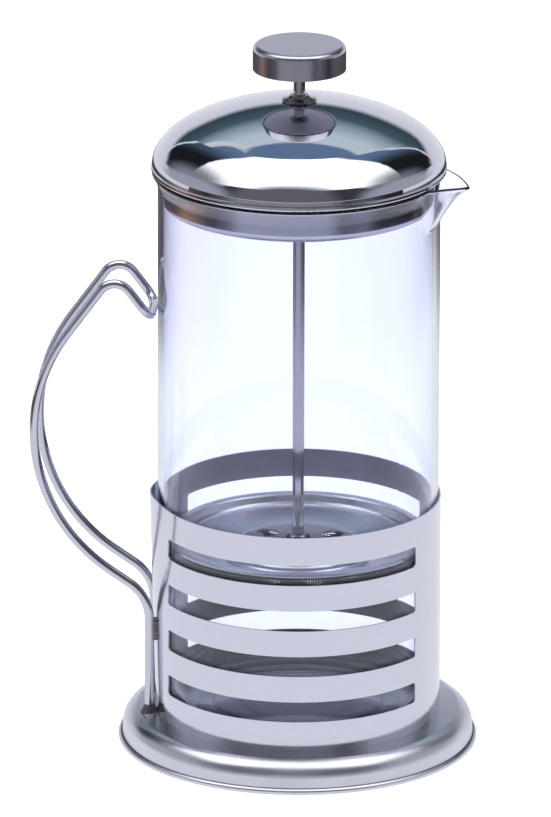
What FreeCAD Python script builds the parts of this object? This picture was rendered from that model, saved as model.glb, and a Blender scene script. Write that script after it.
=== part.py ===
import FreeCAD, Part
import math
import os

# One-litre french press: a glass beaker in a slotted steel holder with a bent-wire handle,
# and a domed lid that guides a plunger with a spring-edged filter.
# Millimetres and degrees. The origin is on the axis at the table, +Z is up, the handle is at -X.

V = FreeCAD.Vector
Z_AXIS = V(0, 0, 1)
FULL_TURN = 360.0

# ------------------------------------------------------------------ driving sizes: beaker
glass_radius = 48.1
glass_wall = 1.8
glass_rim_z = 203.8
glass_floor_gap = 0.1         # beaker to the floor's rings
glass_corner = 11.0
rim_flare_radius = 9.5
rim_flare_angle = 38.0
spout_turn = -10.2            # spout's direction round the axis; the beaker turns freely
spout_length = 11.9           # how far the tip stands out from the beaker
spout_depth = 18.0
spout_dip = 7.0               # the lip's fall towards the tip
spout_half_angle = 16.0       # where the spout leaves the rim, each side
spout_tip_round = 2.4
spout_root_narrowing = 0.35   # width of the spout's foot as a share of its width at the rim
spout_root_sink = 0.4         # the spout's foot starts this far inside the beaker's face
spout_round_inset = 0.6       # how fast the hollow's tip gets tighter with depth in the wall

# ------------------------------------------------------------------ driving sizes: holder
base_overhang = 12.8          # sleeve to the outside of the curled edge on the table
base_height = 11.2            # table to the top of the floor and of the ledge
base_sheet = 0.8
base_edge_radius = 0.65       # middle line of the curled edge
base_edge_heading = 170.0     # the way the curled edge points where it ends
base_flat = 0.12              # how far the curled edge is ground flat underneath
base_flank_lean = 4.0         # the flank's lean from upright
base_shoulder_radius = 5.6    # round from the ledge into the flank
base_ledge_bend = 3.2
base_ledge_slope = 3.0
base_crease_slope = 12.0
rib_radii = (14.0, 24.0, 34.0)   # stiffening rings pressed up in the floor
rib_land = 2.0
rib_bend = 1.5
rib_angle = 40.0

sleeve_glass_gap = 0.3
sleeve_height = 76.8
sleeve_sheet = 0.5
sleeve_nose = 2.1             # how far its top stands out on the handle's side
sleeve_nose_margin = 0.5      # degrees from the end of the slots to the start of the nose
sleeve_sectors = 16           # faces that the round of the sleeve is divided into, so each curves gently
slot_count = 4
slot_height = 7.2
slot_end_angle = 29.8         # solid panel each side of the handle and of the front
slot_turn = -1.3              # the rows of slots against the handle's middle plane
slot_bottom_band = 10.6
slot_top_band = 9.9
slot_corner = 1.2

wire_radius = 1.6
handle_half_spacing = 11.0    # each leg's distance from the handle's middle plane
handle_leg_gap = 1.1          # leg to sleeve
handle_leg_top = 44.8         # where a leg starts to bend away
handle_foot_bend = 15.5
handle_rise_angle = 56.0      # the leg's lean after its first bend
handle_rise = 7.4
handle_belly_bend = 60.0
handle_return_angle = -36.0
handle_return = 19.5
handle_peak_bend = 6.0
handle_fall_angle = -143.0
handle_corner_bend = 5.0
handle_glass_gap = 0.3        # crossbar to glass

weld_foot_radius = 3.6
weld_foot_height = 2.6
weld_foot_lip = 0.1           # weld metal left on the wire at the top of the foot's cone
weld_seat_radius = 1.5
weld_seat_length = 8.0
weld_seat_z = 41.0
weld_seat_round = 0.9
tack_count = 6
tack_radius = 1.1

# ------------------------------------------------------------------ driving sizes: lid
lid_overhang = 2.2            # lid's edge to the beaker's side
lid_sheet = 0.5
lid_seat_gap = 0.15
lid_hem_return = 2.2          # how far the hem lies back under the lid
lid_hem_bend = 0.55
lid_hem_height = 0.7
lid_jog_angle = 40.0
dome_knuckle = 8.7
dome_knuckle_angle = 34.5
dome_shoulder = 24.9
dome_shoulder_angle = 63.8
liner_clearance = 0.35        # liner's skirt to the inside of the glass
liner_depth = 12.1
liner_bend = 0.8
liner_corner = 2.4
liner_hole_gap = 0.45
liner_collar = 2.0
press_gap = 0.02              # between faces that are pressed or clamped together

bush_tube_radius = 3.0
bush_flange_radius = 5.9
bush_flange_edge = 0.5
bush_flare_sag = 0.25         # hollow of the flange's cone
bush_height = 2.1
bush_tube_length = 7.5
bush_running_gap = 0.06
bush_hole_gap = 0.05
bush_nut_width = 10.0
bush_nut_height = 3.0
bush_washer_radius = 6.0
bush_washer_height = 0.6
bush_washer_drop = 0.3        # dome's underside to the washer, which meets its slope at the edge

# ------------------------------------------------------------------ driving sizes: plunger
rod_radius = 2.0
rod_chamfer = 0.4
thread_gap = 0.02
nut_cone = 0.18               # height of a nut's end cones as a share of its corner radius
knob_radius = 15.9
knob_height = 8.7
knob_edge = 1.3
knob_sheet = 0.8
knob_clearance = 9.1          # knob to the top of the lid's bush, at rest
knob_core_gap = 0.05
knob_core_recess = 0.6
knob_nut_width = 7.0
knob_nut_height = 1.6
rod_in_knob = 6.0

filter_rim_z = 73.9           # top of the filter at rest
dish_glass_gap = 1.2          # dish's rim to the inside of the glass
dish_sheet = 0.6
dish_depth = 7.5
dish_disc_radius = 21.5       # raised flat disc in the middle
dish_step_bend = 2.0
dish_step_angle = 70.0
dish_floor_bend = 2.0
dish_slope = 14.0
dish_wall_angle = 62.0
dish_wall_bend = 2.5
dish_flange_lap = 0.2         # flat flange starts this far out from the inside of the coil
dish_flange_bend = 1.0
dish_rim_bend = 0.7
dish_rim_drop = 0.1
dish_hole_radius = 3.8
dish_hole_ring = 16.0
dish_hole_count = 4
coil_radius = 1.9
coil_glass_gap = 0.3
coil_rim_gap = 0.1
mesh_sheet = 0.4
mesh_gap = 0.1
mesh_cup_angle = 38.0
mesh_cup_bend = 3.0
mesh_edge_share = 0.8         # how far out under the coil the mesh reaches, in coil radii
plate_setback = 7.1           # plate's edge to the middle of the coil
plate_sheet = 0.8
plate_edge_bend = 1.6
plate_edge_drop = 1.2
plate_hole_radius = 5.5
plate_hole_rings = ((13.5, 6), (26.5, 12))
hub_radius = 6.0
hub_height = 6.0
hub_chamfer = 0.6
filter_nut_width = 7.0
filter_nut_height = 3.2
filter_washer_radius = 5.0
filter_washer_height = 0.8

cut_spare = 1.0               # how far a cutting tool runs past what it cuts
face_overlap = 0.01           # how far solids that are fused pass into each other


# ------------------------------------------------------------------ helpers
def polar(radius, angle, z=0.0):
    """Point at this distance from the axis; the angle is measured from +X."""
    a = math.radians(angle)
    return V(radius * math.cos(a), radius * math.sin(a), z)


def revolved(face, degrees=FULL_TURN):
    return face.revolve(V(0, 0, 0), Z_AXIS, degrees)


def closed_face(edges):
    return Part.Face(Part.Wire(Part.__sortEdges__(edges)))


def outline_face(points):
    """Flat face in the XZ plane from (x, z) points."""
    corners = [V(x, 0, z) for x, z in points]
    return Part.Face(Part.makePolygon(corners + corners[:1]))


def bore_tool(radius, height, bottom):
    """Cylinder round the axis that cuts a hole right through what stands on this level."""
    return Part.makeCylinder(radius, height + 2 * cut_spare, V(0, 0, bottom - cut_spare))


def ring(inner, outer, bottom, height):
    """Flat ring round the axis."""
    tube = Part.makeCylinder(outer, height, V(0, 0, bottom))
    return tube.cut(bore_tool(inner, height, bottom))


def rims(solid):
    """The circular edges of a turned blank."""
    return [e for e in solid.Edges if isinstance(e.Curve, Part.Circle)]


def hex_nut(width, height, bottom, bore):
    """Six-sided nut round the axis, its corners turned to a shallow cone at both ends."""
    corner = width / math.sqrt(3)
    corners = [polar(corner, i * FULL_TURN / 6, bottom) for i in range(6)]
    prism = Part.Face(Part.makePolygon(corners + corners[:1])).extrude(V(0, 0, height))
    turned = Part.makeCylinder(corner, height, V(0, 0, bottom))
    turned = turned.makeChamfer(nut_cone * corner, rims(turned))
    return prism.common(turned).cut(bore_tool(bore, height, bottom))


def save(shape, name, merge_faces=True):
    if merge_faces:
        shape = shape.removeSplitter()
    if not shape.isValid():
        raise ValueError(name + " is not a valid solid")
    shape.exportStep("parts/" + name + ".step")
    return shape


class SheetPath:
    """Middle line of a sheet in the XZ plane, laid run by run as a bender would make it.

    The heading is 0 along +X and 90 along +Z, and left of the heading is positive offset.
    """

    def __init__(self, x, z, heading):
        self.x = x
        self.z = z
        self.heading = heading
        self.steps = []

    def normal(self, heading):
        a = math.radians(heading)
        return -math.sin(a), math.cos(a)

    def run(self, length):
        a = math.radians(self.heading)
        start = (self.x, self.z)
        self.x += length * math.cos(a)
        self.z += length * math.sin(a)
        self.steps.append(("run", start, (self.x, self.z), self.heading))
        return self

    def run_to(self, x=None, z=None):
        a = math.radians(self.heading)
        if x is not None:
            return self.run((x - self.x) / math.cos(a))
        return self.run((z - self.z) / math.sin(a))

    def bend(self, radius, heading):
        side = 1 if heading > self.heading else -1
        nx, nz = self.normal(self.heading)
        centre = (self.x + side * radius * nx, self.z + side * radius * nz)
        self.steps.append(("bend", centre, side, radius, self.heading, heading))
        nx, nz = self.normal(heading)
        self.x = centre[0] - side * radius * nx
        self.z = centre[1] - side * radius * nz
        self.heading = heading
        return self

    def edges(self, offset):
        made = []
        for step in self.steps:
            if step[0] == "run":
                (x0, z0), (x1, z1), heading = step[1:]
                nx, nz = self.normal(heading)
                a = V(x0 + offset * nx, 0, z0 + offset * nz)
                b = V(x1 + offset * nx, 0, z1 + offset * nz)
                made.append(Part.makeLine(a, b))
            else:
                centre, side, radius, start, end = step[1:]
                reach = radius - side * offset
                spots = []
                for heading in (start, (start + end) / 2, end):
                    nx, nz = self.normal(heading)
                    spots.append(V(centre[0] - side * reach * nx, 0, centre[1] - side * reach * nz))
                made.append(Part.Arc(*spots).toShape())
        return made

    def sheet(self, thickness):
        """Solid of revolution of the sheet."""
        left = self.edges(thickness / 2)
        right = self.edges(-thickness / 2)
        caps = []
        for index, vertex in ((0, 0), (-1, -1)):
            near = left[index].Vertexes[vertex].Point
            far = right[index].Vertexes[vertex].Point
            caps.append(Part.makeLine(near, far))
        return revolved(closed_face(left + right + caps))


# ------------------------------------------------------------------ levels that several pieces share
sleeve_radius = glass_radius + sleeve_glass_gap + sleeve_sheet
sleeve_nose_angle = slot_end_angle - abs(slot_turn) - sleeve_nose_margin
base_radius = sleeve_radius + base_overhang
lid_radius = glass_radius + lid_overhang
spout_reach = glass_radius + spout_length
sleeve_bottom_z = base_height
sleeve_top_z = sleeve_bottom_z + sleeve_height
rib_rise = 2 * rib_bend * (1 - math.cos(math.radians(rib_angle)))
glass_bottom_z = base_height + rib_rise + glass_floor_gap
glass_inner_radius = glass_radius - glass_wall
lid_bottom_z = glass_rim_z + lid_seat_gap


# ------------------------------------------------------------------ holder
def make_base_plate():
    """Pressed plate: ringed floor, ledge, rolled shoulder, flank and outward-curled edge."""
    half = base_sheet / 2
    flank = math.radians(90 - base_flank_lean)
    crease = math.radians(base_crease_slope)
    edge_x = base_radius - half - base_edge_radius * (1 + math.sin(flank))
    edge_z = half + base_edge_radius * (1 - math.cos(flank)) - base_flat
    shoulder_drop = base_shoulder_radius * (math.cos(crease) - math.cos(flank))
    shoulder_run = base_shoulder_radius * (math.sin(flank) - math.sin(crease))
    path = SheetPath(0, base_height - half, 0)
    for radius in rib_radii:
        path.run_to(x=radius)
        path.bend(rib_bend, rib_angle).bend(rib_bend, 0).run(rib_land)
        path.bend(rib_bend, -rib_angle).bend(rib_bend, 0)
    path.run_to(x=sleeve_radius + sleeve_sheet)
    path.bend(base_ledge_bend, -base_ledge_slope)
    ledge_z = path.z
    fall = ledge_z - shoulder_drop - edge_z
    shoulder_x = edge_x - fall / math.tan(flank) - shoulder_run
    path.run_to(x=shoulder_x)
    path.bend(base_sheet, -base_crease_slope)
    path.bend(base_shoulder_radius, -(90 - base_flank_lean))
    path.run_to(z=edge_z)
    path.bend(base_edge_radius, base_edge_heading)
    plate = path.sheet(base_sheet)
    return plate.cut(Part.makeCylinder(2 * base_radius, base_height, V(0, 0, -base_height)))


def nose_outline(radius, nose, z):
    """Closed outline from the axis round the sleeve's nose, which stands out on the handle's side."""
    start = polar(radius, 180 - sleeve_nose_angle, z)
    end = polar(radius, 180 + sleeve_nose_angle, z)
    curve = Part.BSplineCurve()
    leave = polar(1, 270 - sleeve_nose_angle)
    arrive = polar(1, 270 + sleeve_nose_angle)
    through = [start, V(-radius - nose, 0, z), end]
    curve.interpolate(Points=through, InitialTangent=leave, FinalTangent=arrive)
    middle = V(0, 0, z)
    return Part.Wire([curve.toShape(), Part.makeLine(end, middle), Part.makeLine(middle, start)])


def sleeve_block(inset):
    """Solid inside the sleeve's outer face, or inside its inner face when inset is its sheet."""
    radius = sleeve_radius - inset
    low = nose_outline(radius, 0, sleeve_bottom_z)
    high = nose_outline(radius, sleeve_nose, sleeve_top_z)
    nose = Part.makeLoft([low, high], True, True)
    step = (FULL_TURN - 2 * sleeve_nose_angle) / sleeve_sectors
    sector = Part.makeCylinder(radius, sleeve_height, V(0, 0, sleeve_bottom_z), Z_AXIS, step)
    sectors = []
    for i in range(sleeve_sectors):
        turned = sector.copy()
        turned.rotate(V(0, 0, 0), Z_AXIS, sleeve_nose_angle - FULL_TURN / 2 + i * step)
        sectors.append(turned)
    return nose.fuse(sectors)


def make_sleeve(outer):
    """Rolled strip with rows of long slots in its two sides."""
    shell = outer.cut(sleeve_block(sleeve_sheet))
    free = sleeve_height - slot_bottom_band - slot_top_band - slot_height
    pitch = free / (slot_count - 1)
    low = sleeve_radius - slot_height
    high = sleeve_radius + slot_height + sleeve_nose
    for row in range(slot_count):
        z = sleeve_bottom_z + slot_bottom_band + row * pitch
        top = z + slot_height
        window = outline_face([(low, z), (high, z), (high, top), (low, top)])
        cutter = revolved(window, FULL_TURN / 2 - 2 * slot_end_angle)
        straight = [e for e in cutter.Edges if isinstance(e.Curve, Part.Line)]
        radial = [e for e in straight if e.BoundBox.ZLength < e.Length / 2]
        cutter = cutter.makeFillet(slot_corner, radial)
        for side in (0, FULL_TURN / 2):
            turned = cutter.copy()
            turned.rotate(V(0, 0, 0), Z_AXIS, slot_end_angle + slot_turn + side)
            shell = shell.cut(turned)
    return shell


leg_distance = sleeve_radius + handle_leg_gap + wire_radius
leg_x = -math.sqrt(leg_distance ** 2 - handle_half_spacing ** 2)
crossbar_x = -(glass_radius + handle_glass_gap + wire_radius)


class WirePath:
    """Middle line of the handle's wire, as tangent lines and arcs in space."""

    def __init__(self, start, direction):
        self.point = start
        self.direction = direction
        self.edges = []

    def run(self, length):
        end = self.point + self.direction * length
        self.edges.append(Part.makeLine(self.point, end))
        self.point = end

    def bend(self, radius, angle, axis):
        """Turn by this angle about this axis, by the right-hand rule."""
        arm = axis.cross(self.direction).multiply(radius)
        centre = self.point + arm
        turn_half = FreeCAD.Rotation(axis, angle / 2)
        turn_all = FreeCAD.Rotation(axis, angle)
        middle = centre + turn_half.multVec(arm.negative())
        end = centre + turn_all.multVec(arm.negative())
        self.edges.append(Part.Arc(self.point, middle, end).toShape())
        self.point = end
        self.direction = turn_all.multVec(self.direction)


def handle_leg_shape():
    """Turns and lengths of one leg from its foot, as (kind, size, angle) with outward turns positive."""
    foot_z = base_height
    belly_turn = handle_return_angle - handle_rise_angle
    peak_turn = handle_fall_angle - handle_return_angle
    return [
        ("run", handle_leg_top - foot_z, 0),
        ("bend", handle_foot_bend, handle_rise_angle),
        ("run", handle_rise, 0),
        ("bend", handle_belly_bend, belly_turn),
        ("run", handle_return, 0),
        ("bend", handle_peak_bend, peak_turn),
    ]


def make_handle_wire():
    """One hairpin of round wire: two legs, and a crossbar that steadies the glass."""
    steps = handle_leg_shape()
    outward = V(0, -1, 0)
    inward = V(0, 1, 0)
    wire = WirePath(V(leg_x, -handle_half_spacing, base_height), V(0, 0, 1))
    for kind, size, angle in steps:
        if kind == "run":
            wire.run(size)
        elif angle > 0:
            wire.bend(size, angle, outward)
        else:
            wire.bend(size, -angle, inward)
    fall = wire.direction
    last = (crossbar_x - wire.point.x) / fall.x - handle_corner_bend
    corner_axis = fall.cross(V(0, 1, 0))
    wire.run(last)
    wire.bend(handle_corner_bend, 90, corner_axis)
    wire.run(2 * (handle_half_spacing - handle_corner_bend))
    wire.bend(handle_corner_bend, 90, corner_axis)
    wire.run(last)
    for kind, size, angle in reversed(steps):
        if kind == "run":
            wire.run(size)
        elif angle > 0:
            wire.bend(size, angle, inward)
        else:
            wire.bend(size, -angle, outward)
    spine = Part.Wire(wire.edges)
    section = Part.Wire(Part.makeCircle(wire_radius, wire.edges[0].Vertexes[0].Point, Z_AXIS))
    return spine.makePipeShell([section], True, True)


def mirrored_pair(shape):
    return [shape, shape.mirror(V(0, 0, 0), V(0, 1, 0))]


def make_foot_welds(base, outer, handle):
    """Fillet of weld metal round each leg's foot."""
    spot = V(leg_x, -handle_half_spacing, base_height - base_sheet)
    height = weld_foot_height + base_sheet
    cone = Part.makeCone(weld_foot_radius, wire_radius + weld_foot_lip, height, spot)
    weld = cone.cut(handle).cut(outer).cut(base)
    return Part.makeCompound(mirrored_pair(max(weld.Solids, key=lambda s: s.Volume)))


def make_seat_welds(outer, handle):
    """Bead of weld metal between each leg and the sleeve."""
    towards = 1 - wire_radius / leg_distance
    spot = V(leg_x * towards, -handle_half_spacing * towards, weld_seat_z - weld_seat_length / 2)
    bead = Part.makeCylinder(weld_seat_radius, weld_seat_length, spot)
    bead = bead.makeFillet(weld_seat_round, rims(bead))
    bead = bead.cut(handle).cut(outer)
    return Part.makeCompound(mirrored_pair(max(bead.Solids, key=lambda s: s.Volume)))


def make_sleeve_tacks(base, sleeve):
    """Tack welds in the corner between the sleeve's inside and the floor."""
    tacks = []
    corner = sleeve_radius - sleeve_sheet
    room = Part.makeCylinder(corner, 2 * tack_radius, V(0, 0, base_height))
    for i in range(tack_count):
        spot = polar(corner, (i + 0.5) * FULL_TURN / tack_count, base_height)
        ball = Part.makeSphere(tack_radius, spot)
        tacks.append(ball.common(room).cut(sleeve).cut(base))
    return Part.makeCompound([max(t.Solids, key=lambda s: s.Volume) for t in tacks])


# ------------------------------------------------------------------ beaker
def glass_profile(offset):
    """Face between the axis and one face of the beaker's wall, rim included."""
    half = glass_wall / 2
    end_heading = 90 - rim_flare_angle
    rim_top = glass_rim_z - half * math.cos(math.radians(end_heading))
    flare_rise = rim_flare_radius * math.sin(math.radians(rim_flare_angle))
    path = SheetPath(0, glass_bottom_z + half, 0)
    path.run_to(x=glass_radius - half - glass_corner)
    path.bend(glass_corner, 90)
    path.run_to(z=rim_top - flare_rise)
    path.bend(rim_flare_radius, end_heading)
    edges = path.edges(offset)
    start = edges[0].Vertexes[0].Point
    end = edges[-1].Vertexes[-1].Point
    above = V(0, 0, end.z)
    edges.append(Part.makeLine(end, above))
    edges.append(Part.makeLine(above, start))
    return revolved(closed_face(edges)), end


def spout_section(reach, half_angle, body, tip_round, z):
    """Outline of the spout at one height: two flanks that meet in a round tip."""
    root = polar(body, half_angle, z)
    centre = V(reach - tip_round, 0, z)
    arm = root - centre
    lean = math.atan2(arm.y, arm.x) - math.acos(tip_round / arm.Length)
    touch = centre + V(math.cos(lean), math.sin(lean), 0).multiply(tip_round)
    points = [V(body - spout_depth / 2, root.y, z), root, touch]
    mirrored = [V(p.x, -p.y, p.z) for p in reversed(points)]
    edges = [Part.makeLine(points[0], points[1]), Part.makeLine(points[1], points[2])]
    edges.append(Part.Arc(touch, V(reach, 0, z), mirrored[0]).toShape())
    edges += [Part.makeLine(mirrored[0], mirrored[1]), Part.makeLine(mirrored[1], mirrored[2])]
    edges.append(Part.makeLine(mirrored[2], points[0]))
    return Part.Wire(edges)


def spout_block(inset, top):
    """Solid of the spout's outer face, or of its hollow when inset is the wall."""
    body = glass_radius - inset
    tip = spout_tip_round - spout_round_inset * inset
    foot_reach = body - spout_root_sink
    foot_angle = spout_root_narrowing * spout_half_angle
    foot_z = glass_rim_z - spout_depth + inset
    low = spout_section(foot_reach, foot_angle, foot_reach - glass_wall, tip, foot_z)
    high = spout_section(spout_reach - inset, spout_half_angle, body, tip, top)
    hinge = (glass_radius - glass_wall) * math.cos(math.radians(spout_half_angle))
    high.rotate(V(hinge, 0, top), V(0, 1, 0), spout_dip)
    block = Part.makeLoft([low, high], True, True)
    block.rotate(V(0, 0, 0), Z_AXIS, spout_turn)
    return block


def make_beaker():
    """Blown glass beaker with a flared rim and a pulled spout."""
    outer, outer_end = glass_profile(-glass_wall / 2)
    inner, inner_end = glass_profile(glass_wall / 2)
    low = inner_end.z - face_overlap
    high = inner_end.z + spout_depth
    funnel = outline_face([(0, low), (inner_end.x, low), (inner_end.x, high), (0, high)])
    axis_low = (0, outer_end.z - face_overlap)
    rim = [axis_low, (outer_end.x, outer_end.z), (inner_end.x, inner_end.z), (0, inner_end.z)]
    solid = outer.fuse(revolved(outline_face(rim))).fuse(spout_block(0, outer_end.z))
    hollow = inner.fuse(revolved(funnel)).fuse(spout_block(glass_wall, outer_end.z + cut_spare))
    return solid.cut(hollow)


# ------------------------------------------------------------------ lid
def dome_path():
    """Middle line of the lid's dome, from its hem to the hole at its top."""
    half = lid_sheet / 2
    path = SheetPath(lid_radius - half - lid_hem_return, lid_bottom_z + half, 0)
    path.run_to(x=lid_radius - half - lid_hem_bend)
    path.bend(lid_hem_bend, 90).run(lid_hem_height)
    path.bend(lid_hem_bend, 90 + lid_jog_angle).bend(lid_hem_bend, 90)
    path.bend(dome_knuckle - half, 90 + dome_knuckle_angle)
    path.bend(dome_shoulder - half, 90 + dome_shoulder_angle)
    crown = path.x / math.cos(math.radians(dome_shoulder_angle))
    hole = bush_tube_radius + bush_hole_gap
    path.bend(crown, 180 - math.degrees(math.asin(hole / crown)))
    return path


def make_liner():
    """Pan under the dome: its flange lies in the dome's hem and its skirt stands in the glass."""
    half = lid_sheet / 2
    skirt = glass_inner_radius - liner_clearance - half
    flange_x = lid_radius - lid_sheet - lid_hem_bend
    path = SheetPath(flange_x, lid_bottom_z + lid_sheet + half + press_gap, 180)
    path.run_to(x=skirt + liner_bend)
    path.bend(liner_bend, 270)
    path.run_to(z=lid_bottom_z - liner_depth + half + liner_corner)
    path.bend(liner_corner, 180)
    path.run_to(x=rod_radius + liner_hole_gap + half + lid_sheet)
    path.bend(lid_sheet, 90).run(liner_collar)
    return path.sheet(lid_sheet)


def make_bush(top):
    """Turned steel guide: a flared collar outside and a threaded tube through the dome."""
    bore = rod_radius + bush_running_gap
    flange_z = top + press_gap
    profile = [
        (bore, flange_z - bush_tube_length),
        (bush_tube_radius, flange_z - bush_tube_length),
        (bush_tube_radius, flange_z),
        (bush_flange_radius, flange_z),
        (bush_flange_radius, flange_z + bush_flange_edge),
    ]
    corners = [V(x, 0, z) for x, z in profile]
    edges = [Part.makeLine(a, b) for a, b in zip(corners, corners[1:])]
    neck = V(bush_tube_radius, 0, flange_z + bush_height)
    edge = V(bush_flange_radius, 0, flange_z + bush_flange_edge)
    hollow = (neck + edge) * 0.5 - V(bush_flare_sag, 0, bush_flare_sag)
    edges.append(Part.Arc(edge, hollow, neck).toShape())
    mouth = V(bore, 0, flange_z + bush_height)
    edges.append(Part.makeLine(neck, mouth))
    edges.append(Part.makeLine(mouth, V(bore, 0, flange_z - bush_tube_length)))
    return revolved(closed_face(edges))


# ------------------------------------------------------------------ plunger
def make_knob_cap(bottom):
    """Pressed steel cap with a rounded edge."""
    half = knob_sheet / 2
    path = SheetPath(0, bottom + knob_height - half, 0)
    path.run_to(x=knob_radius - half - knob_edge)
    path.bend(knob_edge, -90)
    path.run_to(z=bottom)
    return path.sheet(knob_sheet)


def make_knob_core(bottom):
    """Threaded disc pressed into the cap."""
    radius = knob_radius - knob_sheet - knob_core_gap
    low = bottom + knob_core_recess
    high = bottom + knob_height - knob_sheet - knob_core_gap
    disc = Part.makeCylinder(radius, high - low, V(0, 0, low))
    disc = disc.makeFillet(knob_edge, [e for e in rims(disc) if e.BoundBox.ZMin > low])
    socket = Part.makeCylinder(rod_radius + thread_gap, rod_in_knob + cut_spare, V(0, 0, low - cut_spare))
    return disc.cut(socket)


def pierced(plate, radius, ring_radius, count):
    """The plate with a ring of round holes through it."""
    box = plate.BoundBox
    for i in range(count):
        spot = polar(ring_radius, (i + 0.5) * FULL_TURN / count, box.ZMin - cut_spare)
        plate = plate.cut(Part.makeCylinder(radius, box.ZLength + 2 * cut_spare, spot))
    return plate


coil_ring = glass_inner_radius - coil_glass_gap - coil_radius
coil_z = filter_rim_z - dish_sheet - dish_rim_bend - dish_rim_drop - coil_rim_gap - coil_radius
mesh_z = filter_rim_z - dish_depth - mesh_gap - mesh_sheet / 2
plate_z = mesh_z - mesh_sheet / 2 - mesh_gap - plate_sheet / 2
dish_step = 2 * dish_step_bend * (1 - math.cos(math.radians(dish_step_angle)))


def make_dish(bore):
    """Spring-edged filter's top plate: a dish with a raised disc, round holes and a rolled rim."""
    half = dish_sheet / 2
    slope = math.radians(dish_wall_angle)
    path = SheetPath(bore, filter_rim_z - dish_depth + half + dish_step, 0)
    path.run_to(x=dish_disc_radius)
    path.bend(dish_step_bend, -dish_step_angle).bend(dish_step_bend, 0)
    path.bend(dish_floor_bend, dish_slope)
    rim_side = glass_inner_radius - dish_glass_gap - half - dish_rim_bend
    flange_x = coil_ring - coil_radius + dish_flange_lap
    wall_top_x = flange_x - dish_flange_bend * math.sin(slope)
    wall_top_z = filter_rim_z - half - dish_flange_bend * (1 - math.cos(slope))
    bend_run = dish_wall_bend * (math.sin(slope) - math.sin(math.radians(dish_slope)))
    bend_rise = dish_wall_bend * (math.cos(math.radians(dish_slope)) - math.cos(slope))
    # Where the sloped floor has to end for the wall to arrive at the rim.
    floor_lean = math.tan(math.radians(dish_slope))
    wall_lean = math.tan(slope)
    across = wall_top_x - path.x - bend_run
    climb = wall_top_z - path.z - bend_rise
    wall_run = (climb - across * floor_lean) / (wall_lean - floor_lean)
    path.run_to(x=path.x + across - wall_run)
    path.bend(dish_wall_bend, dish_wall_angle)
    path.run_to(z=wall_top_z)
    path.bend(dish_flange_bend, 0)
    path.run_to(x=rim_side)
    path.bend(dish_rim_bend, -90)
    path.run(dish_rim_drop)
    return pierced(path.sheet(dish_sheet), dish_hole_radius, dish_hole_ring, dish_hole_count)


def make_mesh(bore):
    """Woven wire screen, flat under the dish and cupped up under the coil."""
    half = mesh_sheet / 2
    edge_x = coil_ring + mesh_edge_share * coil_radius
    path = SheetPath(bore, mesh_z, 0)
    bend_run = mesh_cup_bend * math.sin(math.radians(mesh_cup_angle))
    reach = coil_radius + half + mesh_gap
    touch_x = coil_ring + reach * math.sin(math.radians(mesh_cup_angle))
    touch_z = coil_z - reach * math.cos(math.radians(mesh_cup_angle))
    bend_rise = mesh_cup_bend * (1 - math.cos(math.radians(mesh_cup_angle)))
    lift = (touch_z - mesh_z - bend_rise) / math.tan(math.radians(mesh_cup_angle))
    path.run_to(x=touch_x - lift - bend_run)
    path.bend(mesh_cup_bend, mesh_cup_angle)
    path.run_to(x=min(edge_x, glass_inner_radius - coil_glass_gap - half))
    return path.sheet(mesh_sheet)


def make_plate(bore):
    """Bottom plate: flat, with rings of round holes and a turned-down edge."""
    path = SheetPath(bore, plate_z, 0)
    path.run_to(x=coil_ring - plate_setback - plate_sheet / 2 - plate_edge_bend)
    path.bend(plate_edge_bend, -90).run(plate_edge_drop)
    plate = path.sheet(plate_sheet)
    for ring_radius, count in plate_hole_rings:
        plate = pierced(plate, plate_hole_radius, ring_radius, count)
    return plate


def make_hub(top):
    """Round threaded hub that holds the filter's plates on the rod."""
    bottom = top - hub_height
    hub = Part.makeCylinder(hub_radius, hub_height, V(0, 0, bottom))
    hub = hub.makeChamfer(hub_chamfer, [e for e in rims(hub) if e.BoundBox.ZMax < top])
    return hub.cut(bore_tool(rod_radius + thread_gap, hub_height, bottom))


def make_rod(bottom, top):
    """Ground steel rod with chamfered ends."""
    rod = Part.makeCylinder(rod_radius, top - bottom, V(0, 0, bottom))
    return rod.makeChamfer(rod_chamfer, rims(rod))


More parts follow.
